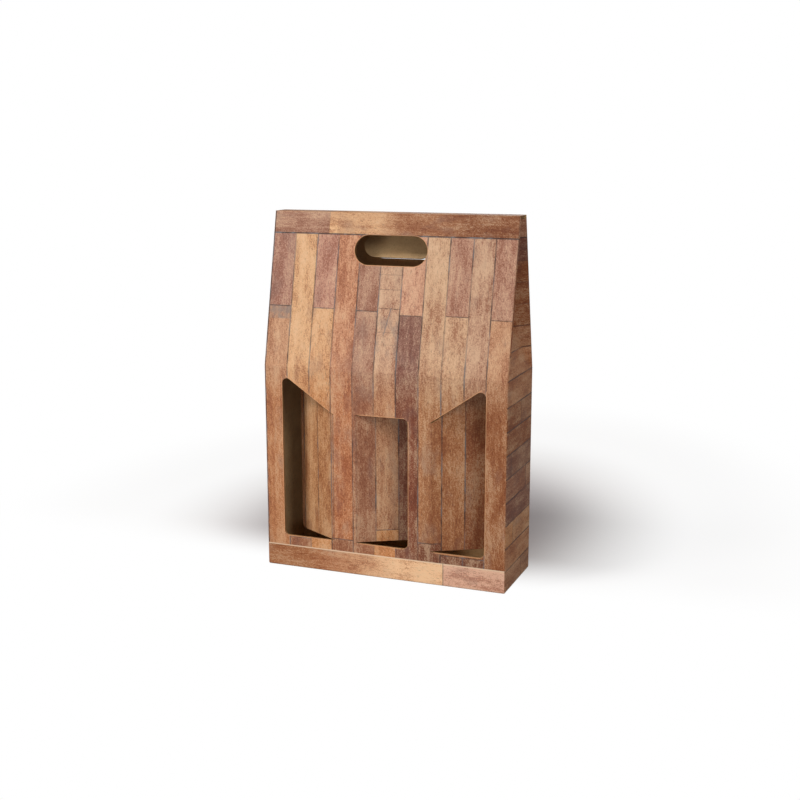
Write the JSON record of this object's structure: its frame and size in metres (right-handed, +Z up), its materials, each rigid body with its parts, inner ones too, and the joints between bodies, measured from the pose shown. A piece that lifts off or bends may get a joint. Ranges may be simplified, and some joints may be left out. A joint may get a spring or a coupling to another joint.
{
  "type": "bottle shipping box",
  "caption": "Upright gable-topped carton for bottles, wood-plank print, with fold-in window flaps, a carry hole near the ridge and a narrow tuck lid.",
  "frame": {"origin": "centre of the base, on the surface it stands on", "axes": "+Z up, X along the width, the windowed front faces -Y"},
  "size_m": [0.25, 0.084, 0.354],
  "materials": {
    "printed_board": "matt plank print outside, plain kraft inside"
  },
  "bodies": {
    "carton": {"carton": "printed_board"},
    "window_flap_left": {"window_flap_left": "printed_board"},
    "window_flap_middle": {"window_flap_middle": "printed_board"},
    "window_flap_right": {"window_flap_right": "printed_board"},
    "handle_tongue": {"handle_tongue": "printed_board"},
    "lid": {"lid": "printed_board"},
    "tuck_flap": {"tuck_flap": "printed_board"}
  },
  "joints": [
    {"name": "left_window_fold", "type": "hinge", "parent": "carton", "child": "window_flap_left", "pos_m": [-0.05125, -0.0404, 0.033], "axis": [0, 0, -1], "range_deg": [-30, 60]},
    {"name": "middle_window_fold", "type": "hinge", "parent": "carton", "child": "window_flap_middle", "pos_m": [-0.02785, -0.0404, 0.033], "axis": [0, 0, 1], "range_deg": [-30, 60]},
    {"name": "right_window_fold", "type": "hinge", "parent": "carton", "child": "window_flap_right", "pos_m": [0.04965, -0.0404, 0.033], "axis": [0, 0, 1], "range_deg": [-30, 60]},
    {"name": "handle_tongue_fold", "type": "hinge", "parent": "carton", "child": "handle_tongue", "pos_m": [0, 0.0128, 0.33537], "axis": [-1, 0, 0], "range_deg": [-40, 50]},
    {"name": "lid_fold", "type": "hinge", "parent": "carton", "child": "lid", "pos_m": [0, -0.0105, 0.354], "axis": [1, 0, 0], "range_deg": [0, 120]},
    {"name": "tuck_fold", "type": "hinge", "parent": "lid", "child": "tuck_flap", "pos_m": [0, 0.00607, 0.3524], "axis": [1, 0, 0], "range_deg": [-72, 0]}
  ],
  "couplings": [
    {"joint": "tuck_fold", "follows": "lid_fold", "ratio": -0.6}
  ]
}
